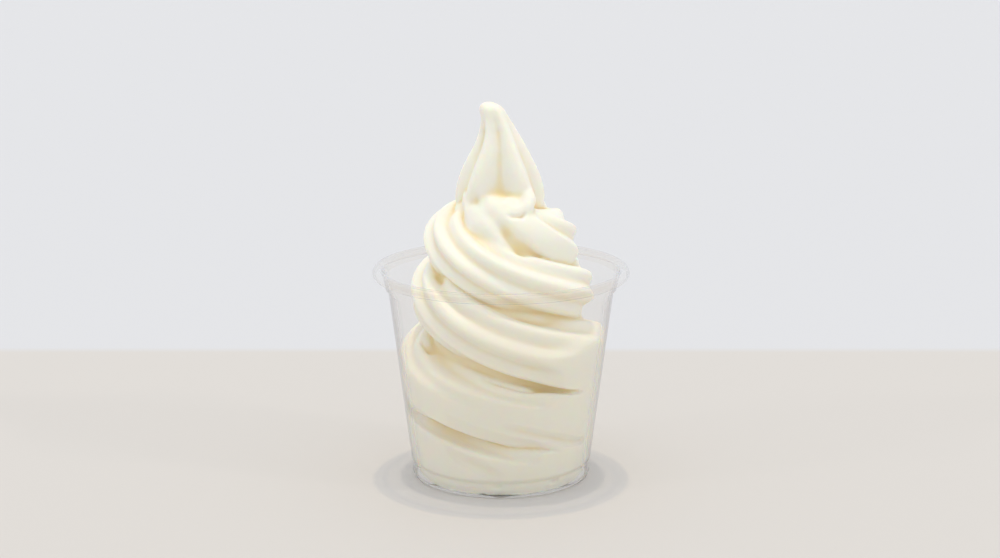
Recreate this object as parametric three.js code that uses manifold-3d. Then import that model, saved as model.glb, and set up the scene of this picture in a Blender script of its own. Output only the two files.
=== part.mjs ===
// A swirl of soft frozen yogurt in a clear plastic dessert cup.
// Millimetres, +Z up. The origin is the centre of the cup's flat base, and -Y is the front.
//
// Two solids: the cup, turned about Z, and the yogurt. The yogurt is one ridged rope, laid in a
// coil that climbs clockwise as seen from above and leans down to the right, and drawn up into a
// ridged peak. A plain core fills the coil's middle, and the cup's wall flattens what it touches.
import * as THREE from "three";
import Module from "manifold-3d";

const wasm = await Module();
wasm.setup();

// ---- The cup's sizes
const RIM_RADIUS = 46;            // outside of the rolled rim
const CUP_HEIGHT = 77;
const RIM_ROLL = 1.9;             // outer radius of the roll's section
const WALL = 0.6;                 // thickness of the plastic
const BASE_RADIUS = 30.6;         // flat part of the base
const FOOT = { radius: 32.3, height: 1.8 };     // the foot's widest place
const GROOVE = { radius: 31.3, height: 4.6 };   // the pinched line above the foot
const WALL_START = { radius: 32.6, height: 6.6 };
const LEDGE = { radius: 40.4, height: 68.6 };   // where the stacking ledge begins
const LEDGE_STEP = { radius: 1.0, height: 1.0 };
const FLOOR_LIFT = [1, 0.7, 0.2];  // how far the foot's rows rise inside, in walls
const CUP_SEGMENTS = 48;
const RIM_STEPS = 5;

// ---- The yogurt's sizes
const CLEARANCE = 0.3;            // between the yogurt and the cup
const RIDGES = 8;                 // ridges round the rope
const POINTS_PER_RIDGE = 4;
const RINGS_PER_TURN = 32;
const FIRST_TURN = -0.45;         // the coil's two ends, counted in turns from the front
const LAST_TURN = 4.75;
const FRONT_DIP = 1.5;            // the coil is this much lower in front than behind
const BACK_EASE = 0.8;            // how far the coil changes size behind rather than in front
const TWIST_WOBBLE_START = 0.19;  // where in a turn the ridges' wobble begins
const INNER_LIMIT = 0.6;          // the rope's inner side stays this far from the coil's axis
const SMOOTH_TOP = [3.4, 3.9];    // the turns between which the grooves on top of it fade out
const TOP_SIDE = { tilt: 25, shares: [-0.3, 0.6] };   // where its top ends: a cosine's two shares
const LOST_GROOVE = 5;            // this groove fades out too, and two ridges merge

// One value for each pass of the rope across the front, from the bottom up.
const PASSES = {
  height: [11, 32.3, 56.6, 78.5, 91, 97],          // of the rope's middle
  lean: [0.5, 2.8, 5.3, 4.8, 3.2, 1],              // how much higher that is at the left
  outer: [35, 38.2, 35.8, 31, 22.2, 15],           // the coil's outer radius
  shift: [0, 0.1, 2.6, 2.1, 4.9, 0.5],             // of the coil's axis to the right
  halfWidth: [13, 13.5, 13.5, 13, 12, 9],          // of the rope
  halfHeight: [11.8, 12, 13.3, 12.2, 12.8, 9],
  groove: [0.14, 0.14, 0.15, 0.16, 0.17, -0.1],    // depth, as a share of the half width
  twist: [13, 162, 368, 574, 880, 1206],           // of the ridges, in degrees
  wobble: [-8, 1, 13, 7, -10, 0],                  // about that twist, in degrees
};

// The core that fills the coil's middle: its radius at some heights, and its shift to the right.
const CORE = [
  { height: 1, radius: 30.2, shift: 0 },
  { height: 5, radius: 31.2, shift: 0 },
  { height: 12, radius: 27, shift: 0.5 },
  { height: 40, radius: 27, shift: 1 },
  { height: 60, radius: 26, shift: 2.5 },
  { height: 78, radius: 20, shift: 3 },
  { height: 90, radius: 13, shift: 4 },
  { height: 97, radius: 7, shift: 4 },
];
const CORE_SEGMENTS = 32;

// How far the yogurt's weight pushes it out, and the heights between which that dies away. A side
// is 1 for the right, -1 for the left and 0 for all round.
const PUSHES = [
  { side: 1, push: 9, heights: [46, 57] },
  { side: -1, push: 8, heights: [24, 44] },
  { side: 0, push: 1.5, heights: [24, 36] },
  { side: 0, push: 5, heights: [2, 9] },
];
const SIDE_START = [20, 68];      // degrees from the front between which a side's push sets in
const SIDE_END = [130, 175];      // and those between which it ends
const PUSHED_RADII = [12, 24];    // only what lies further out than this moves

// The peak: its radius at some heights, and how its middle leans.
const PEAK = [
  { height: 90, radius: 13.5 },
  { height: 97, radius: 15.2 },
  { height: 104, radius: 15.9 },
  { height: 112, radius: 13.6 },
  { height: 120, radius: 9.6 },
  { height: 128, radius: 6.0 },
  { height: 132.5, radius: 4.6 },
];
const PEAK_TIP = { height: 136, leftward: 4.0 };  // the tip's height, and its lean to the left
const PEAK_SHIFT = -0.4;
const PEAK_BACK = 1.5;            // the peak's base stands this far behind the cup's axis
const PEAK_BEND_HEIGHT = 120;     // the tip leans away above this height
const PEAK_RIDGES = [-94, -35, 33, 86, 135, 183, 228];  // degrees from the front, + to the right
const PEAK_SPREAD = 9;            // the two front ridges stand this much wider apart at the base
const PEAK_DEPTH = 0.2;           // of a usual groove, as a share of the peak's radius
const PEAK_USUAL_GROOVE = 50;     // how wide that groove is, in degrees
const PEAK_SMOOTH_TIP = 10;       // the grooves die away over this height below the tip
const PEAK_POINTS_PER_RIDGE = 4;
const PEAK_STEP = 2.5;
const CAP_LIFTS = [0.45, 0.75, 0.95];   // rings of the rounded tip, as shares of its height
const CAP_AXIS = new THREE.Vector3(-0.35, 0, 0.8);   // its lean and height, in radii

const { PI, cos, sin, min, max, floor, atan2, hypot } = Math;
const { smoothstep } = THREE.MathUtils;
const DEGREE = PI / 180;

// A smooth curve through evenly spaced values: Catmull and Rom's spline.
function smoothValue(values, t) {
  const last = values.length - 1;
  const i = min(max(floor(t), 0), last - 1);
  const f = t - i;
  const at = (k) => {
    if (k < 0) return 2 * values[0] - values[1];
    if (k > last) return 2 * values[last] - values[last - 1];
    return values[k];
  };
  const [p0, p1, p2, p3] = [at(i - 1), at(i), at(i + 1), at(i + 2)];
  const quadratic = 2 * p0 - 5 * p1 + 4 * p2 - p3;
  const cubic = -p0 + 3 * p1 - 3 * p2 + p3;
  return (2 * p1 + (p2 - p0) * f + quadratic * f * f + cubic * f * f * f) / 2;
}

const passValue = (name, turn) => smoothValue(PASSES[name], turn);

// The point that the yogurt's weight pushes a point out to.
function pushOut(point) {
  const angle = atan2(point.x, -point.y) / DEGREE;
  const radius = hypot(point.x, point.y);
  const sidePush = (side) => (
    smoothstep(side * angle, ...SIDE_START) * (1 - smoothstep(side * angle, ...SIDE_END)));
  const push = PUSHES.reduce((sum, { side, push: most, heights }) => (
    sum + most * (side ? sidePush(side) : 1) * (1 - smoothstep(point.z, ...heights))), 0);
  const scale = 1 + (push * smoothstep(radius, ...PUSHED_RADII)) / max(radius, 1);
  return new THREE.Vector3(point.x * scale, point.y * scale, point.z);
}

const pushRingOut = ({ middle, points }) => ({ middle, points: points.map(pushOut) });

// The closed ring of points round the rope at one place of the coil. A whole turn number is the
// front, and the rope runs from there to the left, the back and the right.
function ropeRing(turn) {
  const eased = turn - (BACK_EASE / (2 * PI)) * sin(2 * PI * turn);
  const round = 2 * PI * (0.75 - turn);
  const leftward = -cos(round);
  const frontward = -sin(round);
  const halfWidth = passValue("halfWidth", eased);
  const halfHeight = passValue("halfHeight", eased);
  const radius = passValue("outer", eased) - halfWidth;
  const shift = passValue("shift", eased);
  const height = passValue("height", turn) + passValue("lean", eased) * leftward
    - FRONT_DIP * frontward;
  const wobble = passValue("wobble", turn) * sin(4 * PI * (turn - TWIST_WOBBLE_START));
  const twist = (passValue("twist", turn) + wobble) * DEGREE;
  const depth = max(passValue("groove", turn), 0);
  const fade = smoothstep(turn, ...SMOOTH_TOP);

  const point = (out, up) => new THREE.Vector3(
    shift + (radius + out) * cos(round),
    (radius + out) * sin(round),
    height + up,
  );
  const points = [];
  const count = RIDGES * POINTS_PER_RIDGE;
  for (let i = 0; i < count; i++) {
    const angle = (2 * PI * i) / count;
    const outward = smoothstep(cos(angle + twist + TOP_SIDE.tilt * DEGREE), ...TOP_SIDE.shares);
    const lost = floor(i / POINTS_PER_RIDGE) === LOST_GROOVE;
    const kept = lost ? 1 - fade : 1 - fade * (1 - outward);
    const size = 1 - (depth * kept * (1 - cos(RIDGES * angle))) / 2;
    const out = max(size * halfWidth * cos(angle + twist), INNER_LIMIT - radius);
    points.push(point(out, size * halfHeight * sin(angle + twist)));
  }
  return { middle: point(0, 0), points };
}

// The peak's ring at one height: uneven ridges, with a wide groove in front.
function peakRing(height) {
  const t = PEAK.findIndex((row, i) => i === PEAK.length - 2 || height < PEAK[i + 1].height);
  const [low, high] = [PEAK[t], PEAK[t + 1]];
  const share = (height - low.height) / (high.height - low.height);
  const radius = smoothValue(PEAK.map((row) => row.radius), t + share);
  const bend = max(height - PEAK_BEND_HEIGHT, 0) / (PEAK_TIP.height - PEAK_BEND_HEIGHT);
  const rise = min(max((height - PEAK[2].height) / (PEAK_BEND_HEIGHT - PEAK[2].height), 0), 1);
  const middle = new THREE.Vector3(
    PEAK_SHIFT - PEAK_TIP.leftward * bend * bend,
    PEAK_BACK * (1 - rise),
    height,
  );
  const spread = PEAK_SPREAD * (1 - rise);
  const ridges = PEAK_RIDGES.slice();
  ridges[1] -= spread;
  ridges[2] += spread;
  const depth = PEAK_DEPTH * min((PEAK_TIP.height - height) / PEAK_SMOOTH_TIP, 1);

  const points = [];
  ridges.forEach((start, k) => {
    const end = k + 1 < ridges.length ? ridges[k + 1] : ridges[0] + 360;
    for (let i = 0; i < PEAK_POINTS_PER_RIDGE; i++) {
      const along = i / PEAK_POINTS_PER_RIDGE;
      const angle = (start + (end - start) * along) * DEGREE;
      const groove = ((1 - cos(2 * PI * along)) / 2) * ((end - start) / PEAK_USUAL_GROOVE);
      const size = radius * (1 - depth * groove);
      points.push(new THREE.Vector3(size * sin(angle), -size * cos(angle), 0).add(middle));
    }
  });
  return { middle, points };
}

// A closed solid through a row of rings that all have as many points, with its ends capped.
function loft(rings) {
  const count = rings[0].points.length;
  const vertices = rings.flatMap((ring) => ring.points);
  const triangles = [];
  for (let r = 0; r + 1 < rings.length; r++) {
    for (let i = 0; i < count; i++) {
      const [a, b] = [r * count + i, r * count + ((i + 1) % count)];
      triangles.push([a, b, b + count], [a, b + count, a + count]);
    }
  }
  const lastRing = (rings.length - 1) * count;
  const [startCap, endCap] = [vertices.length, vertices.length + 1];
  vertices.push(rings[0].middle, rings[rings.length - 1].middle);
  for (let i = 0; i < count; i++) {
    const next = (i + 1) % count;
    triangles.push([startCap, next, i], [endCap, lastRing + i, lastRing + next]);
  }
  return solidFrom(vertices, triangles);
}

// A solid of vertices and triangles, turned the right way out.
function solidFrom(vertices, triangles) {
  const volume = triangles.reduce((sum, [a, b, c]) => (
    sum + vertices[a].dot(vertices[b].clone().cross(vertices[c]))), 0);
  const faces = volume > 0 ? triangles : triangles.map(([a, b, c]) => [a, c, b]);
  return new wasm.Manifold(new wasm.Mesh({
    numProp: 3,
    vertProperties: Float32Array.from(vertices.flatMap((v) => [v.x, v.y, v.z])),
    triVerts: Uint32Array.from(faces.flat()),
  }));
}

// Rings about Z, or beside it, through rows of radius and height.
function roundRings(rows, segments) {
  return rows.map(({ radius, height, shift = 0 }) => ({
    middle: new THREE.Vector3(shift, 0, height),
    points: Array.from({ length: segments }, (_, i) => {
      const angle = (2 * PI * i) / segments;
      return new THREE.Vector3(shift + radius * sin(angle), radius * cos(angle), height);
    }),
  }));
}

// ---- The cup

// The outside of the cup from the flat base up to the neck below the rim.
function cupOutside() {
  return [
    { radius: BASE_RADIUS, height: 0 },
    { radius: FOOT.radius - 0.4, height: FOOT.height / 3 },
    FOOT,
    { radius: GROOVE.radius, height: GROOVE.height - 0.7 },
    { radius: GROOVE.radius, height: GROOVE.height + 0.7 },
    WALL_START,
    LEDGE,
    { radius: LEDGE.radius + LEDGE_STEP.radius, height: LEDGE.height + LEDGE_STEP.height },
    { radius: RIM_RADIUS - 2 * RIM_ROLL - 0.1, height: CUP_HEIGHT - 2 * RIM_ROLL },
  ];
}

// The cup's inside, or a surface that lies a gap within it, from the floor up to the neck.
function cupInside(gap) {
  return cupOutside().map(({ radius, height }, i) => ({
    radius: radius - WALL - gap,
    height: height + (WALL + gap) * (FLOOR_LIFT[i] ?? 0),
  }));
}

// The rim's roll, seen in section: an arc about the middle of the roll.
function rimArc(arcRadius, from, to) {
  return Array.from({ length: RIM_STEPS + 1 }, (_, i) => {
    const angle = (from + ((to - from) * i) / RIM_STEPS) * DEGREE;
    return {
      radius: RIM_RADIUS - RIM_ROLL + arcRadius * cos(angle),
      height: CUP_HEIGHT - RIM_ROLL + arcRadius * sin(angle),
    };
  });
}

function makeCup() {
  const profile = [
    { radius: 0, height: 0 },
    ...cupOutside(),
    ...rimArc(RIM_ROLL - WALL, 180, -50),
    ...rimArc(RIM_ROLL, -50, 180),
    ...cupInside(0).reverse(),
    { radius: 0, height: WALL },
  ];
  const points = profile.map(({ radius, height }) => new THREE.Vector2(radius, height));
  const geometry = new THREE.LatheGeometry(points, CUP_SEGMENTS);
  geometry.rotateX(PI / 2);
  return geometry;
}

// ---- The yogurt

// The coil, joined from stretches of three quarters of a turn that share their end rings, because
// a whole turn would touch itself.
function makeCoil() {
  const steps = Math.round((LAST_TURN - FIRST_TURN) * RINGS_PER_TURN);
  const rings = Array.from({ length: steps + 1 }, (_, i) => (
    pushRingOut(ropeRing(FIRST_TURN + i / RINGS_PER_TURN))));
  const stretch = 0.75 * RINGS_PER_TURN;
  const pieces = [];
  for (let start = 0; start < steps; start += stretch) {
    pieces.push(loft(rings.slice(start, start + stretch + 1)));
  }
  return pieces.reduce((whole, piece) => whole.add(piece));
}

function makePeak() {
  const rings = [];
  const cap = PEAK[PEAK.length - 1];
  for (let height = PEAK[0].height; height <= cap.height; height += PEAK_STEP) {
    rings.push(peakRing(height));
  }
  const top = rings[rings.length - 1];
  for (const lift of CAP_LIFTS) {
    const shrink = Math.sqrt(1 - lift * lift);
    const middle = CAP_AXIS.clone().multiplyScalar(lift * cap.radius).add(top.middle);
    rings.push({
      middle,
      points: top.points.map((p) => p.clone().sub(top.middle).multiplyScalar(shrink).add(middle)),
    });
  }
  return loft(rings);
}

// The room inside the cup, and the open air above it.
function makeRoom() {
  const overRim = CUP_HEIGHT + RIM_ROLL;
  const above = [
    { radius: RIM_RADIUS - 2 * RIM_ROLL - CLEARANCE, height: overRim },
    { radius: RIM_RADIUS - 2 * RIM_ROLL - CLEARANCE, height: PEAK_TIP.height + 10 },
  ];
  return loft(roundRings([...cupInside(CLEARANCE), ...above], CUP_SEGMENTS));
}

// The triangles of a mesh's largest shell, without the small hollows that joining has sealed.
function largestShell(triVerts, vertexCount) {
  const shell = Array.from({ length: vertexCount }, (_, i) => i);
  const find = (i) => {
    while (shell[i] !== i) {
      shell[i] = shell[shell[i]];
      i = shell[i];
    }
    return i;
  };
  for (let i = 0; i < triVerts.length; i += 3) {
    shell[find(triVerts[i + 1])] = find(triVerts[i]);
    shell[find(triVerts[i + 2])] = find(triVerts[i]);
  }
  const triangles = new Map();
  for (let i = 0; i < triVerts.length; i += 3) {
    const root = find(triVerts[i]);
    if (!triangles.has(root)) triangles.set(root, []);
    triangles.get(root).push(triVerts[i], triVerts[i + 1], triVerts[i + 2]);
  }
  return [...triangles.values()].reduce((a, b) => (a.length >= b.length ? a : b));
}

function makeYogurt() {
  const core = loft(roundRings(CORE, CORE_SEGMENTS).map(pushRingOut));
  const whole = makeCoil().add(core).add(makePeak()).intersect(makeRoom());
  const { vertProperties, triVerts } = whole.getMesh();
  const geometry = new THREE.BufferGeometry();
  geometry.setAttribute("position", new THREE.BufferAttribute(vertProperties, 3));
  geometry.setIndex(largestShell(triVerts, vertProperties.length / 3));
  geometry.computeVertexNormals();
  return geometry;
}

const clearPlastic = new THREE.MeshStandardMaterial({
  name: "clear plastic",
  color: 0xf2f5f7,
  roughness: 0.08,
  metalness: 0,
  transparent: true,
  opacity: 0.3,
});
const frozenYogurt = new THREE.MeshStandardMaterial({
  name: "frozen yogurt", color: 0xf6f0dc, roughness: 0.5, metalness: 0,
});

const yogurtCup = new THREE.Group();
const cup = new THREE.Mesh(makeCup(), clearPlastic);
cup.name = "cup";
const yogurt = new THREE.Mesh(makeYogurt(), frozenYogurt);
yogurt.name = "yogurt";
yogurtCup.add(cup, yogurt);

export default yogurtCup;
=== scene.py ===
"""The looks of a cup of soft frozen yogurt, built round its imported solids.

The yogurt is one ridged rope, laid in a coil that climbs clockwise as seen from above, and drawn
up into a ridged peak. It is made here from the same sizes as its solid, with a finer surface.
Sizes are in millimetres, +Z is up and -Y is the front, until a piece's mesh is made in metres.
"""

import bpy
import numpy as np
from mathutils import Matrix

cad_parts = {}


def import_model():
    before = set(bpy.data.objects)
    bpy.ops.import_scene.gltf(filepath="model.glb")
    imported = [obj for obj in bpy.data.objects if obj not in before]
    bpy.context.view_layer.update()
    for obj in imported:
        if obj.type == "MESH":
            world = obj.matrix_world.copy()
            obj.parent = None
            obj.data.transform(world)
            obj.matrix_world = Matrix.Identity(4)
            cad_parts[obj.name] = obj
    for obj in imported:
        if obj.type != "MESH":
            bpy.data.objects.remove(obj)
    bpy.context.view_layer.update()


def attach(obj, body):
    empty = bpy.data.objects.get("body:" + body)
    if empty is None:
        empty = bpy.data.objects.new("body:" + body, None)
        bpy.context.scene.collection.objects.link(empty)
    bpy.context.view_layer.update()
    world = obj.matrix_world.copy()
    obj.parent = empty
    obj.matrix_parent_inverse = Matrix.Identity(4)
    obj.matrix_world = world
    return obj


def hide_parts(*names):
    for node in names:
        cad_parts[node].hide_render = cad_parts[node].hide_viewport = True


MILLIMETRE = 0.001

# ---- The cup's sizes
RIM_RADIUS = 46.0          # outside of the rolled rim
CUP_HEIGHT = 77.0
RIM_ROLL = 1.9             # outer radius of the roll's section
RIM_END = -50              # where the roll ends, in degrees above straight out
WALL = 0.6                 # thickness of the plastic
# The outside from the flat base up to the neck below the rim, as radius and height.
CUP_OUTSIDE = [
    (30.6, 0.0), (31.9, 0.6), (32.3, 1.8), (31.3, 3.9), (31.3, 5.3), (32.6, 6.6),
    (40.4, 68.6), (41.4, 69.6), (42.1, 73.2),
]
FLOOR_LIFT = [1.0, 0.7, 0.2]   # how far the foot's rows rise inside, in walls
CUP_SEGMENTS = 192
RIM_STEPS = 24

# ---- The yogurt's sizes
RIDGES = 8                 # ridges round the rope
FIRST_TURN = -0.45         # the coil's two ends, counted in turns from the front
LAST_TURN = 4.75
FRONT_DIP = 1.5            # the coil is this much lower in front than behind
BACK_EASE = 0.8            # how far the coil changes size behind rather than in front
TWIST_WOBBLE_START = 0.19  # where in a turn the ridges' wobble begins
INNER_LIMIT = 0.6          # the rope's inner side stays this far from the coil's axis
FADE_TURNS = (3.4, 3.9)    # between these turns the grooves that don't face outwards fade out
SIDE_TILT = 25.0           # what faces outwards is tilted down by this many degrees
SIDE_COSINES = (-0.3, 0.6)   # and begins and is whole at these cosines of the angle from there
LOST_GROOVE = 5            # this groove fades out too, so that two ridges merge

# A value for each pass of the rope across the front, from the bottom up: the height of the rope's
# middle, how much higher it lies at the left, the coil's outer radius, the shift of its axis to
# the right, the rope's half width and half height, the depth of its grooves as a share of its
# half width, and the twist and wobble of its ridges in degrees.
PASSES = {
    "height": [11.0, 32.3, 56.6, 78.5, 91.0, 97.0],
    "lean": [0.5, 2.8, 5.3, 4.8, 3.2, 1.0],
    "outer": [35.0, 38.2, 35.8, 31.0, 22.2, 15.0],
    "shift": [0.0, 0.1, 2.6, 2.1, 4.9, 0.5],
    "half_width": [13.0, 13.5, 13.5, 13.0, 12.0, 9.0],
    "half_height": [11.8, 12.0, 13.3, 12.2, 12.8, 9.0],
    "groove": [0.14, 0.14, 0.15, 0.16, 0.17, -0.1],
    "twist": [13.0, 162.0, 368.0, 574.0, 880.0, 1206.0],
    "wobble": [-8.0, 1.0, 13.0, 7.0, -10.0, 0.0],
}

# The core that closes the coil inside, as heights, radii and shifts to the right.
CORE = [
    (0.45, 30.2, 0), (5, 31.2, 0), (12, 27, 0.5), (40, 27, 1),
    (60, 26, 2.5), (78, 20, 3), (90, 13, 4), (97, 7, 4),
]

# The peak: its radius at some heights, and how its middle leans.
PEAK_HEIGHTS = [90.0, 97.0, 104.0, 112.0, 120.0, 128.0, 132.5]
PEAK_RADII = [13.5, 15.2, 15.9, 13.6, 9.6, 6.0, 4.6]
PEAK_WIDEST = 104.0        # the height where the peak is widest
PEAK_TIP = (136.0, 4.0)    # the tip's height, and its lean to the left
PEAK_SHIFT = -0.4          # the peak's shift to the right
PEAK_BACK = 1.5            # how far back its foot lies
PEAK_BEND_HEIGHT = 120.0   # it bends to the left above this
PEAK_RIDGES = [-94.0, -35.0, 33.0, 86.0, 135.0, 183.0, 228.0]   # in degrees from the front
PEAK_SPREAD = 9.0          # how much further apart the two front ridges are at the foot
PEAK_DEPTH = 0.2           # the depth of its grooves as a share of its radius
PEAK_USUAL_GAP = 50.0      # a gap of this many degrees has a groove of that depth
PEAK_SMOOTH_TIP = 10.0     # the grooves fade out this far below the tip
CAP_LIFTS = (0.1, 0.98)    # the rounded tip's first and last ring, as shares of its height
CAP_RINGS = 10
CAP_AXIS = (-0.35, 0.0, 0.8)   # where it points, in radii of the peak's last ring

# Where the yogurt meets the cup.
BITE = 0.15                # how far it reaches into the cup's wall
SOFT_EDGE = 0.5            # how softly it bends where it meets the wall
FOOT_TOP = 5.3             # below this it leaves the cup's foot partly empty
FOOT_ROUNDING = 2.5        # and is this much narrower at the very bottom
# Its own weight presses it outwards: the side (1 is right, -1 left and 0 all round), how far, and
# between which heights that ends.
PUSHES = [(1, 9, (46, 57)), (-1, 5, (24, 44)), (0, 0.7, (24, 36)), (0, 5, (2, 9))]
SIDE_STARTS = {1: (15, 62), -1: (25, 75)}   # where each side begins, in degrees from the front
SIDE_END = (130, 175)      # and where both end
PUSHED_RADII = (12, 24)    # nearer to the coil's axis nothing moves

# Beads laid onto the surface, as points that each have a radius: the ridge that curls round from
# the peak's right, the lip beside it, and the lobe below that.
BEADS = [
    [(8.4, -7.6, 106.5, 2.4), (9.6, -11.3, 103.0, 2.8), (8.8, -13.8, 100.9, 2.6),
     (6.8, -15.2, 99.9, 2.1), (4.8, -15.8, 100.1, 1.6)],
    [(8, -10.5, 100.8, 3.2), (2, -12.6, 100.9, 3.4), (-3.5, -12.6, 99.6, 3.0)],
    [(-8, -9, 98.5, 5.0), (-6, -11.5, 94, 6.6), (-2, -13.2, 89.8, 6.6), (2.5, -15, 86.9, 4.6)],
]
BEAD_STEP = 0.6            # how far apart a bead's balls are
BALL_RINGS = 13
BALL_POINTS = 24
POLE_TILT = 0.05           # a ball's first and last ring are this far from its poles, in radians
SOFT_SPOT = ((0.0, -14.0, 97.0), 15.0)   # the middle and radius of the spot that is softened
SOFT_ROUNDS = 30
SOFT_SHARE = 0.6           # how strongly each round softens it
SOFT_MIDDLE = 0.6          # the share of its radius where that is whole

# Strokes pressed into the surface: how deep each is, how wide, and the points that it passes. They
# are the hollows below the peak, the gaps between the coil's turns from the top down, and the
# wedges at the cup's foot.
STROKES = [
    (0.9, 2.8, [(-12.3, -9.1, 101.3), (-9.5, -11, 102.4), (-6.6, -12.2, 103.3)]),
    (1.5, 0.9, [(1.5, -17.6, 99.6), (4, -18, 98.4), (7, -17.6, 98.4), (9.5, -15.8, 99.8)]),
    (1.7, 2.4, [(-1.5, -17.8, 98), (0.7, -19.7, 93.8), (3.1, -21, 90.5), (6.6, -21.6, 87.1),
                (12.5, -23.2, 84.2)]),
    (1.2, 1.2, [(-23.4, -9.2, 76), (-21.8, -11.8, 74.4), (-19.6, -15.8, 72.9)]),
    (1.8, 1.6, [(-29.5, -3, 51.5), (-28.3, -7.1, 50.7), (-26, -11.1, 48.8), (-23.7, -16.1, 47.6)]),
    (0.9, 1.6, [(1, -28.3, 64.7), (8.3, -26.1, 62.9), (13.6, -24.3, 62), (22.5, -17.3, 60.6)]),
    (1.9, 1.6, [(-9, -27.5, 43.7), (-2.1, -29.6, 42.2), (8.4, -29.8, 39.7), (20, -25, 37.2)]),
    (1.0, 1.3, [(22, -24.1, 19), (26.3, -19.2, 17.5), (30.3, -14.5, 16.5)]),
    (0.7, 2.2, [(-21, -25, 18.5), (-8.1, -31.8, 11.9), (3, -32.2, 6.5)]),
    (1.1, 1.8, [(-3, -35, 28.5), (7.7, -33.6, 24.9), (18.6, -28.4, 21.1), (29.5, -18.5, 16.5)]),
    (1.6, 1.5, [(-9, -28, -1), (-3, -30, 2.2), (2, -30.3, 4.5)]),
    (1.6, 1.5, [(12, -27.5, -1), (17, -25, 2), (21.5, -22, 4.5)]),
]
STROKE_FADE = 0.35         # a stroke dies away over this share of its length at each end

# ---- Colours, and the stage
# The yogurt's cream colour on its ridges, and painted shade that grows warmer and darker towards its
# deepest gaps, as places from 0 to 1.
YOGURT_AND_SHADE_COLOURS = [
    (0.0, (0.955, 0.908, 0.808)), (0.3, (0.938, 0.874, 0.742)),
    (0.6, (0.912, 0.818, 0.595)), (1.0, (0.870, 0.725, 0.410)),
]
HOLLOW_ROUNDS = 60         # over how wide a neighbourhood a hollow is felt
HOLLOW_SHARE = 0.9         # how far each round levels it
HOLLOW_DEPTHS = (-0.3, 1.3)   # the depths of the first and of the last colour
# The plastic's outer and inner faces: how much they mirror seen from in front and edge-on, what
# they let through from in front to edge-on, and what they let through of the lamps' light.
OUTER_MIRROR = (0.05, 0.7)
OUTER_COLOURS = [
    (0.0, (0.982, 0.968, 0.948)), (0.7, (0.980, 0.968, 0.952)), (0.9, (0.91, 0.91, 0.92)),
    (1.0, (0.45, 0.45, 0.48)),
]
OUTER_SHADE = (0.50, 0.53, 0.60)
INNER_MIRROR = (0.0, 0.4)
INNER_COLOURS = [(0.0, (1.0, 1.0, 1.0)), (0.85, (0.99, 0.99, 0.99)), (1.0, (0.75, 0.75, 0.77))]
INNER_SHADE = (1.0, 1.0, 1.0)
MIRROR_POWER = 5.0         # how late the mirroring rises towards edge-on
TABLE_COLOUR = (0.640, 0.618, 0.597)
FLOOR_COLOUR = (0.660, 0.672, 0.705)
TABLE_EDGE = 171.5         # the table ends this far behind the cup's middle
EDGE_BLUR = 4.0            # and its edge is this soft
FLOOR_SIZE = 20_000.0
ROOM_COLOUR = (0.86, 0.89, 0.93)
# The lamps: name, energy, colour, how wide each looks in radians, and how it is turned in degrees.
LAMPS = [
    ("ceiling lamp", 0.78, (1.0, 0.84, 0.60), 0.03, (-5, 0, 0)),
    ("left lamp", 0.10, (1.0, 0.97, 0.92), 0.06, (20, -62, 0)),
    ("right lamp", 0.20, (1.0, 0.96, 0.90), 0.06, (20, 62, 0)),
    ("front lamp", 0.06, (1.0, 0.96, 0.90), 0.06, (10, -15, 0)),
]
CAMERA_PLACE = (-0.35, -727.0, 240.0)
CAMERA_PITCH = 13.0        # how far it looks down, in degrees
CAMERA_LENS = 74.88        # for a sensor this wide
CAMERA_SENSOR = 36.0

# ---- How finely the yogurt is made
RINGS_PER_TURN = 128
POINTS_PER_RIDGE = 12
CORE_POINTS = 96
PEAK_STEP = 0.5
VOXEL = 0.5
SMOOTHING = 6              # rounds of smoothing before the strokes
LAST_SMOOTHING = 2         # and after them
SMOOTH_SHARES = (0.6, -0.62)   # how far a round moves each point, and then back
MOST_TRIANGLES = 190_000


def smooth_step(value, low, high):
    """Rises smoothly from 0 at low to 1 at high."""
    share = np.clip((value - low) / (high - low), 0, 1)
    return share * share * (3 - 2 * share)


def smooth_value(values, t):
    """A smooth curve through evenly spaced values, at the places t."""
    values = np.asarray(values, float)
    padded = np.concatenate([
        [2 * values[0] - values[1]], values, [2 * values[-1] - values[-2]],
    ])
    i = np.clip(np.floor(t).astype(int), 0, len(values) - 2)
    f = t - i
    p0, p1, p2, p3 = (padded[i + k] for k in range(4))
    quadratic = 2 * p0 - 5 * p1 + 4 * p2 - p3
    cubic = -p0 + 3 * p1 - 3 * p2 + p3
    return (2 * p1 + (p2 - p0) * f + quadratic * f**2 + cubic * f**3) / 2


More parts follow.
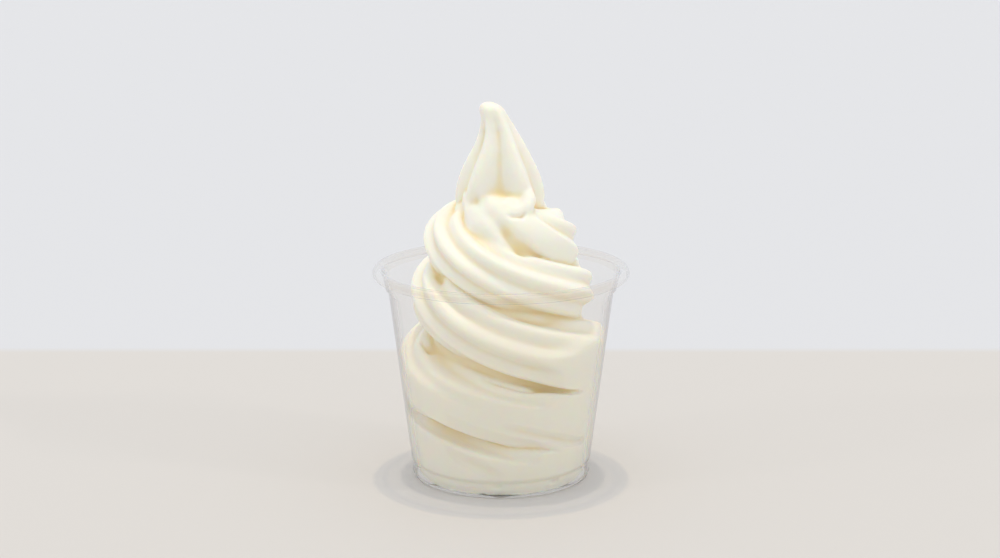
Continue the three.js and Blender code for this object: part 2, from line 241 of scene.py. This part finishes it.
def rope_points(turns, angles):
    """The rope's surface, for a column of places along the coil and a row of angles round it."""
    turn = np.asarray(turns)[:, None]
    eased = turn - BACK_EASE / (2 * np.pi) * np.sin(2 * np.pi * turn)
    around = 2 * np.pi * (0.75 - turn)
    leftward, frontward = -np.cos(around), -np.sin(around)
    half_width = smooth_value(PASSES["half_width"], eased)
    half_height = smooth_value(PASSES["half_height"], eased)
    radius = smooth_value(PASSES["outer"], eased) - half_width
    height = (
        smooth_value(PASSES["height"], turn)
        + smooth_value(PASSES["lean"], eased) * leftward
        - FRONT_DIP * frontward
    )
    wobble = smooth_value(PASSES["wobble"], turn)
    wobble = wobble * np.sin(4 * np.pi * (turn - TWIST_WOBBLE_START))
    twist = np.radians(smooth_value(PASSES["twist"], turn) + wobble)
    depth = np.maximum(smooth_value(PASSES["groove"], turn), 0)
    fade = smooth_step(turn, *FADE_TURNS)
    outward = smooth_step(np.cos(angles + twist + np.radians(SIDE_TILT)), *SIDE_COSINES)
    depth = depth * (1 - fade * (1 - outward))
    lost = np.floor(angles * RIDGES / (2 * np.pi)) == LOST_GROOVE
    depth = depth * (1 - lost * fade)
    size = 1 - depth * (1 - np.cos(RIDGES * angles)) / 2
    out = np.maximum(size * half_width * np.cos(angles + twist), INNER_LIMIT - radius)
    up = size * half_height * np.sin(angles + twist)
    shift = smooth_value(PASSES["shift"], eased)
    return np.stack([
        shift + (radius + out) * np.cos(around),
        (radius + out) * np.sin(around),
        height + up,
    ], axis=-1)


def make_coil():
    """The whole rope, from the cup's floor to the foot of the peak."""
    count = round((LAST_TURN - FIRST_TURN) * RINGS_PER_TURN)
    turns = np.linspace(FIRST_TURN, LAST_TURN, count + 1)
    around = RIDGES * POINTS_PER_RIDGE
    angles = np.arange(around) * 2 * np.pi / around
    return tube(rope_points(turns, angles))


def make_peak():
    """The peak's rings, with uneven ridges, and its rounded tip."""
    heights = np.arange(PEAK_HEIGHTS[0], PEAK_HEIGHTS[-1] + PEAK_STEP / 2, PEAK_STEP)
    rings = [peak_ring(height) for height in heights]
    middle, top = ring_middle(heights[-1]), rings[-1]
    for lift in np.linspace(*CAP_LIFTS, CAP_RINGS):
        shrink = np.sqrt(1 - lift**2)
        cap_middle = middle + np.array(CAP_AXIS) * lift * PEAK_RADII[-1]
        rings.append((top - middle) * shrink + cap_middle)
    return tube(np.array(rings))


def peak_rise(height):
    """From 0 where the peak is widest to 1 where it begins to bend."""
    return np.clip((height - PEAK_WIDEST) / (PEAK_BEND_HEIGHT - PEAK_WIDEST), 0, 1)


def ring_middle(height):
    """The middle of the peak at a height: it leans forward, and then to the left."""
    bend = max(height - PEAK_BEND_HEIGHT, 0) / (PEAK_TIP[0] - PEAK_BEND_HEIGHT)
    back = PEAK_BACK * (1 - peak_rise(height))
    return np.array([PEAK_SHIFT - PEAK_TIP[1] * bend**2, back, height])


def peak_ring(height):
    """The points round the peak at a height, with a groove between any two ridges."""
    place = np.interp(height, PEAK_HEIGHTS, np.arange(len(PEAK_HEIGHTS)))
    radius = float(smooth_value(PEAK_RADII, np.array(place)))
    ridges = np.array(PEAK_RIDGES)
    ridges[1] -= PEAK_SPREAD * (1 - peak_rise(height))
    ridges[2] += PEAK_SPREAD * (1 - peak_rise(height))
    gaps = np.diff(np.append(ridges, ridges[0] + 360))
    along = np.arange(POINTS_PER_RIDGE) / POINTS_PER_RIDGE
    angle = np.radians(ridges[:, None] + gaps[:, None] * along).ravel()
    groove = (1 - np.cos(2 * np.pi * along)) / 2 * (gaps[:, None] / PEAK_USUAL_GAP)
    depth = PEAK_DEPTH * min((PEAK_TIP[0] - height) / PEAK_SMOOTH_TIP, 1)
    size = radius * (1 - depth * groove.ravel())
    ring = np.stack([size * np.sin(angle), -size * np.cos(angle), 0 * angle], axis=-1)
    return ring + ring_middle(height)


def make_bead(route):
    """Small balls in a row along a route, which the remeshing joins into one."""
    route = np.array(route, float)
    lengths = np.linalg.norm(np.diff(route[:, :3], axis=0), axis=1)
    places = np.concatenate([[0], np.cumsum(lengths)])
    along = np.linspace(0, places[-1], round(places[-1] / BEAD_STEP) + 1)
    x, y, z, radius = (np.interp(along, places, column) for column in route.T)
    tilts = np.linspace(POLE_TILT, np.pi - POLE_TILT, BALL_RINGS)
    for i in range(len(along)):
        yield tube(np.array([
            circle(x[i], y[i], z[i] - radius[i] * np.cos(tilt), radius[i] * np.sin(tilt), BALL_POINTS)
            for tilt in tilts
        ]))


def make_core():
    """The closed middle that the rope is wound round."""
    return tube(np.array([
        circle(shift, 0, height, radius, CORE_POINTS) for height, radius, shift in CORE
    ]))


def circle(x, y, z, radius, count):
    """Evenly spaced points on a level circle round (x, y, z)."""
    angles = np.linspace(0, 2 * np.pi, count, endpoint=False)
    return np.stack([x + radius * np.sin(angles), y + radius * np.cos(angles), z + 0 * angles], -1)


def tube(rings):
    """The vertices and faces of a closed tube through rings of points, with flat ends."""
    rows, count = rings.shape[:2]
    vertices = rings.reshape(-1, 3)
    here = np.arange(rows - 1)[:, None] * count + np.arange(count)
    beside = np.arange(rows - 1)[:, None] * count + (np.arange(count) + 1) % count
    faces = np.stack([here, beside, beside + count, here + count], -1).reshape(-1, 4).tolist()
    faces.append(list(range(count))[::-1])
    faces.append(list(range((rows - 1) * count, rows * count)))
    return vertices, faces


def new_mesh_object(name, parts):
    """A mesh object of several sets of vertices and faces, in metres."""
    vertices, faces = [], []
    for part_vertices, part_faces in parts:
        start = len(vertices)
        vertices.extend((part_vertices * MILLIMETRE).tolist())
        faces.extend([start + i for i in face] for face in part_faces)
    mesh = bpy.data.meshes.new(name)
    mesh.from_pydata(vertices, [], faces)
    mesh.update()
    piece = bpy.data.objects.new(name, mesh)
    bpy.context.scene.collection.objects.link(piece)
    return piece


def apply_modifiers(piece):
    """Makes what the modifiers give the piece's own mesh."""
    graph = bpy.context.evaluated_depsgraph_get()
    mesh = bpy.data.meshes.new_from_object(piece.evaluated_get(graph))
    old = piece.data
    piece.modifiers.clear()
    piece.data = mesh
    mesh.name = piece.name
    bpy.data.meshes.remove(old)


def get_points(mesh):
    """The mesh's points in millimetres."""
    points = np.empty(len(mesh.vertices) * 3)
    mesh.vertices.foreach_get("co", points)
    return points.reshape(-1, 3) / MILLIMETRE


def set_points(mesh, points):
    mesh.vertices.foreach_set("co", (points * MILLIMETRE).ravel())
    mesh.update()


def smooth_points(mesh, points, rounds):
    """Moves each point towards its neighbours' middle and back a little, so no size is lost."""
    for _ in range(rounds):
        for share in SMOOTH_SHARES:
            points = points + share * (neighbours_middle(mesh, points) - points)
    return points


def neighbours_middle(mesh, points):
    """The middle of each point's neighbours."""
    edges = np.empty(len(mesh.edges) * 2, int)
    mesh.edges.foreach_get("vertices", edges)
    a, b = edges.reshape(-1, 2).T
    count = np.bincount(edges, minlength=len(points))
    return np.stack([
        (np.bincount(a, points[b, k], len(points)) + np.bincount(b, points[a, k], len(points))) / count
        for k in range(3)
    ], axis=-1)


def get_normals(mesh):
    normals = np.empty(len(mesh.vertices) * 3)
    mesh.vertices.foreach_get("normal", normals)
    return normals.reshape(-1, 3)


def soften_spot(mesh, points):
    """Blends the beads into what they lie on."""
    middle, radius = SOFT_SPOT
    away = np.linalg.norm(points - np.array(middle), axis=1)
    share = SOFT_SHARE * (1 - smooth_step(away, SOFT_MIDDLE * radius, radius))[:, None]
    for _ in range(SOFT_ROUNDS):
        points = points + share * (neighbours_middle(mesh, points) - points)
    return points


def press_strokes(points, normals):
    """Presses the strokes into the surface, so that each dies away at both ends."""
    for depth, width, route in STROKES:
        away, along = place_on(points, np.array(route, float))
        fade = smooth_step(np.minimum(along, 1 - along), 0, STROKE_FADE)
        points = points - normals * (depth * fade * np.exp(-(away / width) ** 2))[:, None]
    return points


def place_on(points, route):
    """How far points lie from a line through the route's points, and how far along it."""
    lengths = np.linalg.norm(np.diff(route, axis=0), axis=1)
    starts = np.concatenate([[0], np.cumsum(lengths)])
    nearest = np.full(len(points), np.inf)
    along = np.zeros(len(points))
    for begin, length, start, end in zip(starts, lengths, route, route[1:]):
        share = np.clip((points - start) @ (end - start) / length**2, 0, 1)
        away = np.linalg.norm(points - start - share[:, None] * (end - start), axis=1)
        closer = away < nearest
        nearest = np.where(closer, away, nearest)
        along = np.where(closer, (begin + share * length) / starts[-1], along)
    return nearest, along


def inside_radius(height):
    """The radius of the cup's inside at some heights."""
    rows = np.array(cup_inside())
    return np.interp(height, rows[:, 1], rows[:, 0])


def foot_radius(height):
    """The radius that the yogurt keeps within the cup's foot, which it doesn't fill."""
    low = 1 - np.clip(height / FOOT_TOP, 0, 1)
    return CUP_OUTSIDE[3][0] - WALL + BITE - FOOT_ROUNDING * low**2


def spread(points):
    """Moves points outwards, as the yogurt's own weight presses it onto the wall, and stops them
    softly there."""
    angle = np.degrees(np.arctan2(points[:, 0], -points[:, 1]))
    height = points[:, 2]
    radius = np.hypot(points[:, 0], points[:, 1])
    push = 0
    for side, distance, ends in PUSHES:
        share = side_share(side, angle) if side else 1
        push = push + distance * share * (1 - smooth_step(height, *ends))
    pushed = radius + push * smooth_step(radius, *PUSHED_RADII)
    room = inside_radius(height) + BITE - pushed
    stopped = pushed + room - SOFT_EDGE * np.logaddexp(0, room / SOFT_EDGE)
    return scale_out(points, np.where(height < CUP_HEIGHT, stopped, pushed) / np.maximum(radius, 1e-6))


def side_share(side, angle):
    """How far some places, in degrees to the right from the front, are within a side."""
    within = smooth_step(side * angle, *SIDE_STARTS[side])
    return within * (1 - smooth_step(side * angle, *SIDE_END))


def scale_out(points, scale):
    """Moves points away from the cup's axis, or towards it."""
    return points * np.stack([scale, scale, np.ones_like(scale)], -1)


def mark_hollow_shade(mesh):
    """Stores how deep each point lies in a dip of the surface, from 0 to 1, as the mask of the painted
    shade in the hollows.
    """
    points = get_points(mesh)
    level = points
    for _ in range(HOLLOW_ROUNDS):
        level = level + HOLLOW_SHARE * (neighbours_middle(mesh, level) - level)
    depth = np.sum((level - points) * get_normals(mesh), axis=1)
    hollow_shade = mesh.attributes.new("hollow_shade", "FLOAT", "POINT")
    hollow_shade.data.foreach_set("value", smooth_step(depth, *HOLLOW_DEPTHS).astype(np.float32))


def press_on_wall(points):
    """Flattens what would lie outside the cup onto its wall, and reaches just into it."""
    flat = np.hypot(points[:, 0], points[:, 1])
    limit = np.where(points[:, 2] < CUP_HEIGHT, inside_radius(points[:, 2]) + BITE, np.inf)
    limit = np.where(points[:, 2] < FOOT_TOP, np.minimum(limit, foot_radius(points[:, 2])), limit)
    points = scale_out(points, np.minimum(1, limit / np.maximum(flat, 1e-6)))
    points[:, 2] = np.maximum(points[:, 2], WALL - BITE)
    return points


def cup_inside():
    """The inside of the wall from the floor up, as radius and height."""
    lifts = FLOOR_LIFT + [0] * (len(CUP_OUTSIDE) - len(FLOOR_LIFT))
    return [
        (radius - WALL, height + WALL * lift) for (radius, height), lift in zip(CUP_OUTSIDE, lifts)
    ]


def rim_arc(arc_radius, start, end):
    """A part of the rolled rim's section, between two angles in degrees."""
    angles = np.radians(np.linspace(start, end, RIM_STEPS + 1))
    return [
        (RIM_RADIUS - RIM_ROLL + arc_radius * np.cos(a), CUP_HEIGHT - RIM_ROLL + arc_radius * np.sin(a))
        for a in angles
    ]


def make_cup():
    """The cup, with one material on its outer faces and one on its inner ones."""
    roll_inside = rim_arc(RIM_ROLL - WALL, 180, RIM_END)
    roll_outside = rim_arc(RIM_ROLL, RIM_END, 180)
    profile = [*CUP_OUTSIDE, *roll_inside, *roll_outside, *cup_inside()[::-1]]
    rings = [circle(0, 0, height, radius, CUP_SEGMENTS) for radius, height in profile]
    cup = new_mesh_object("clear_cup", [tube(np.array(rings))])
    cup.data.shade_smooth()
    for name, *looks in (
        ("clear plastic outside", OUTER_COLOURS, OUTER_MIRROR, OUTER_SHADE),
        ("clear plastic inside", INNER_COLOURS, INNER_MIRROR, INNER_SHADE),
    ):
        cup.data.materials.append(clear_plastic(name, *looks))
    row = np.arange(len(profile) - 1)
    within_roll = (row >= len(CUP_OUTSIDE)) & (row < len(CUP_OUTSIDE) + len(roll_inside))
    inner = within_roll | (row >= len(profile) - len(CUP_OUTSIDE))
    indices = np.append(np.repeat(inner, CUP_SEGMENTS), [False, True]).astype(np.int32)
    cup.data.polygons.foreach_set("material_index", indices)
    return cup


def make_yogurt():
    """The coil, core, peak and beads joined into one skin, and pressed into the cup."""
    coil, coil_faces = make_coil()
    core, core_faces = make_core()
    yogurt = new_mesh_object("yogurt_swirl", [
        (spread(coil), coil_faces), make_peak(), (spread(core), core_faces),
        *(ball for route in BEADS for ball in make_bead(route)),
    ])
    remesh = yogurt.modifiers.new("one skin", "REMESH")
    remesh.mode = "VOXEL"
    remesh.voxel_size = VOXEL * MILLIMETRE
    apply_modifiers(yogurt)
    points = get_points(yogurt.data)
    points = smooth_points(yogurt.data, points, SMOOTHING)
    set_points(yogurt.data, soften_spot(yogurt.data, points))
    points = press_strokes(get_points(yogurt.data), get_normals(yogurt.data))
    points = press_on_wall(smooth_points(yogurt.data, points, LAST_SMOOTHING))
    set_points(yogurt.data, points)
    triangles = sum(len(face.vertices) - 2 for face in yogurt.data.polygons)
    if triangles > MOST_TRIANGLES:
        fewer = yogurt.modifiers.new("fewer faces", "DECIMATE")
        fewer.ratio = MOST_TRIANGLES / triangles
        apply_modifiers(yogurt)
    # The mask of the painted shade that darkens and warms the hollows
    mark_hollow_shade(yogurt.data)
    yogurt.data.shade_smooth()
    yogurt.data.materials.append(frozen_yogurt())
    return yogurt


# ---- Materials

def new_material(name):
    """An empty material, with its nodes and their links."""
    material = bpy.data.materials.new(name)
    material.use_nodes = True
    nodes = material.node_tree.nodes
    nodes.clear()
    return material, nodes, material.node_tree.links


def add_node(nodes, kind, **settings):
    """A node with some of its settings or input values given by name."""
    node = nodes.new(kind)
    for name, value in settings.items():
        if name in node.inputs:
            node.inputs[name].default_value = value
        else:
            setattr(node, name, value)
    return node


def set_ramp(ramp, stops):
    """Gives a colour ramp its stops, as places and colours."""
    elements = ramp.color_ramp.elements
    while len(elements) < len(stops):
        elements.new(1.0)
    for element, (place, colour) in zip(elements, stops):
        element.position = place
        element.color = (*colour, 1)


def frozen_yogurt():
    """Pale cream, with painted shade, warmer and darker, in the hollows, and a faintly grainy skin."""
    material, nodes, links = new_material("frozen yogurt")
    output = nodes.new("ShaderNodeOutputMaterial")
    shader = add_node(nodes, "ShaderNodeBsdfPrincipled", Roughness=0.42)
    shader.inputs["Subsurface Weight"].default_value = 1.0
    shader.inputs["Subsurface Radius"].default_value = (1.0, 0.75, 0.45)
    shader.inputs["Subsurface Scale"].default_value = 0.002
    # Painted shade: the depth of each hollow, with a little random tone, picks a warmer and darker
    # cream from the ramp.
    hollow_shade = add_node(nodes, "ShaderNodeAttribute", attribute_name="hollow_shade")
    place = nodes.new("ShaderNodeTexCoord")
    clouds = add_node(nodes, "ShaderNodeTexNoise", Scale=60.0, Detail=3.0)
    tone_and_shade = add_node(nodes, "ShaderNodeMath", operation="MULTIPLY_ADD")
    tone_and_shade.inputs[1].default_value = 0.12
    painted_shade = nodes.new("ShaderNodeValToRGB")
    set_ramp(painted_shade, YOGURT_AND_SHADE_COLOURS)
    links.new(place.outputs["Object"], clouds.inputs["Vector"])
    links.new(clouds.outputs["Fac"], tone_and_shade.inputs[0])
    links.new(hollow_shade.outputs["Fac"], tone_and_shade.inputs[2])
    links.new(tone_and_shade.outputs["Value"], painted_shade.inputs["Fac"])
    links.new(painted_shade.outputs["Color"], shader.inputs["Base Color"])
    grain = add_node(nodes, "ShaderNodeTexNoise", Scale=900.0, Detail=4.0)
    waves = add_node(nodes, "ShaderNodeTexNoise", Scale=150.0, Detail=2.0)
    relief = add_node(nodes, "ShaderNodeMath", operation="MULTIPLY_ADD")
    relief.inputs[1].default_value = 0.25
    bump = add_node(nodes, "ShaderNodeBump", Strength=0.25, Distance=0.0005)
    links.new(place.outputs["Object"], grain.inputs["Vector"])
    links.new(place.outputs["Object"], waves.inputs["Vector"])
    links.new(grain.outputs["Fac"], relief.inputs[0])
    links.new(waves.outputs["Fac"], relief.inputs[2])
    links.new(relief.outputs["Value"], bump.inputs["Height"])
    links.new(bump.outputs["Normal"], shader.inputs["Normal"])
    links.new(shader.outputs["BSDF"], output.inputs["Surface"])
    return material


def clear_plastic(name, colours, mirror, shade):
    """Clear, mirroring more where it is seen edge-on, and casting a faint shadow."""
    material, nodes, links = new_material(name)
    output = nodes.new("ShaderNodeOutputMaterial")
    clear = nodes.new("ShaderNodeBsdfTransparent")
    gloss = add_node(nodes, "ShaderNodeBsdfGlossy", Color=(1, 1, 1, 1), Roughness=0.28)
    facing = add_node(nodes, "ShaderNodeLayerWeight", Blend=0.5)
    tint = nodes.new("ShaderNodeValToRGB")
    set_ramp(tint, colours)
    grazing = add_node(nodes, "ShaderNodeMath", operation="POWER")
    grazing.inputs[1].default_value = MIRROR_POWER
    mirrored = nodes.new("ShaderNodeMapRange")
    mirrored.inputs["To Min"].default_value = mirror[0]
    mirrored.inputs["To Max"].default_value = mirror[1]
    mix = nodes.new("ShaderNodeMixShader")
    light = nodes.new("ShaderNodeLightPath")
    dimmed = add_node(nodes, "ShaderNodeBsdfTransparent", Color=(*shade, 1))
    shadow = nodes.new("ShaderNodeMixShader")
    links.new(facing.outputs["Facing"], tint.inputs["Fac"])
    links.new(tint.outputs["Color"], clear.inputs["Color"])
    links.new(facing.outputs["Facing"], grazing.inputs[0])
    links.new(grazing.outputs["Value"], mirrored.inputs["Value"])
    links.new(mirrored.outputs["Result"], mix.inputs["Fac"])
    links.new(clear.outputs["BSDF"], mix.inputs[1])
    links.new(gloss.outputs["BSDF"], mix.inputs[2])
    links.new(light.outputs["Is Shadow Ray"], shadow.inputs["Fac"])
    links.new(mix.outputs["Shader"], shadow.inputs[1])
    links.new(dimmed.outputs["BSDF"], shadow.inputs[2])
    links.new(shadow.outputs["Shader"], output.inputs["Surface"])
    return material


def floor_material():
    """A pale warm table, and a cooler floor beyond its far edge."""
    material, nodes, links = new_material("pale floor")
    output = nodes.new("ShaderNodeOutputMaterial")
    shader = add_node(nodes, "ShaderNodeBsdfPrincipled", Roughness=0.7)
    place = nodes.new("ShaderNodeTexCoord")
    apart = nodes.new("ShaderNodeSeparateXYZ")
    edge = nodes.new("ShaderNodeMapRange")
    edge.inputs["From Min"].default_value = (TABLE_EDGE - EDGE_BLUR) * MILLIMETRE
    edge.inputs["From Max"].default_value = (TABLE_EDGE + EDGE_BLUR) * MILLIMETRE
    tones = nodes.new("ShaderNodeValToRGB")
    set_ramp(tones, [(0.0, TABLE_COLOUR), (1.0, FLOOR_COLOUR)])
    links.new(place.outputs["Object"], apart.inputs["Vector"])
    links.new(apart.outputs["Y"], edge.inputs["Value"])
    links.new(edge.outputs["Result"], tones.inputs["Fac"])
    links.new(tones.outputs["Color"], shader.inputs["Base Color"])
    links.new(shader.outputs["BSDF"], output.inputs["Surface"])
    return material


# ---- The stage

def make_floor():
    far = FLOOR_SIZE / 2
    floor = new_mesh_object("floor", [(
        np.array([(-far, -far, 0), (far, -far, 0), (far, far, 0), (-far, far, 0)], float),
        [(0, 1, 2, 3)],
    )])
    floor.data.materials.append(floor_material())


def make_lights():
    """An even room, and the lamps."""
    world = bpy.data.worlds.new("soft room")
    bpy.context.scene.world = world
    world.use_nodes = True
    world.node_tree.nodes["Background"].inputs["Color"].default_value = (*ROOM_COLOUR, 1)
    world.node_tree.nodes["Background"].inputs["Strength"].default_value = 1.0
    for name, energy, colour, angle, turn in LAMPS:
        lamp = bpy.data.lights.new(name, "SUN")
        lamp.energy = energy
        lamp.color = colour
        lamp.angle = angle
        sun = bpy.data.objects.new(name, lamp)
        bpy.context.scene.collection.objects.link(sun)
        sun.rotation_euler = np.radians(turn)


def make_camera():
    data = bpy.data.cameras.new("camera")
    data.lens = CAMERA_LENS
    data.sensor_width = CAMERA_SENSOR
    camera = bpy.data.objects.new("camera", data)
    bpy.context.scene.collection.objects.link(camera)
    camera.location = np.array(CAMERA_PLACE) * MILLIMETRE
    camera.rotation_euler = (np.radians(90 - CAMERA_PITCH), 0, 0)
    bpy.context.scene.camera = camera


def main():
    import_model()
    yogurt = make_yogurt()
    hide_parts("yogurt")
    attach(yogurt, "root")
    cup = make_cup()
    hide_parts("cup")
    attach(cup, "root")
    make_floor()
    make_lights()
    make_camera()
    bpy.context.scene.view_settings.view_transform = "Standard"


main()
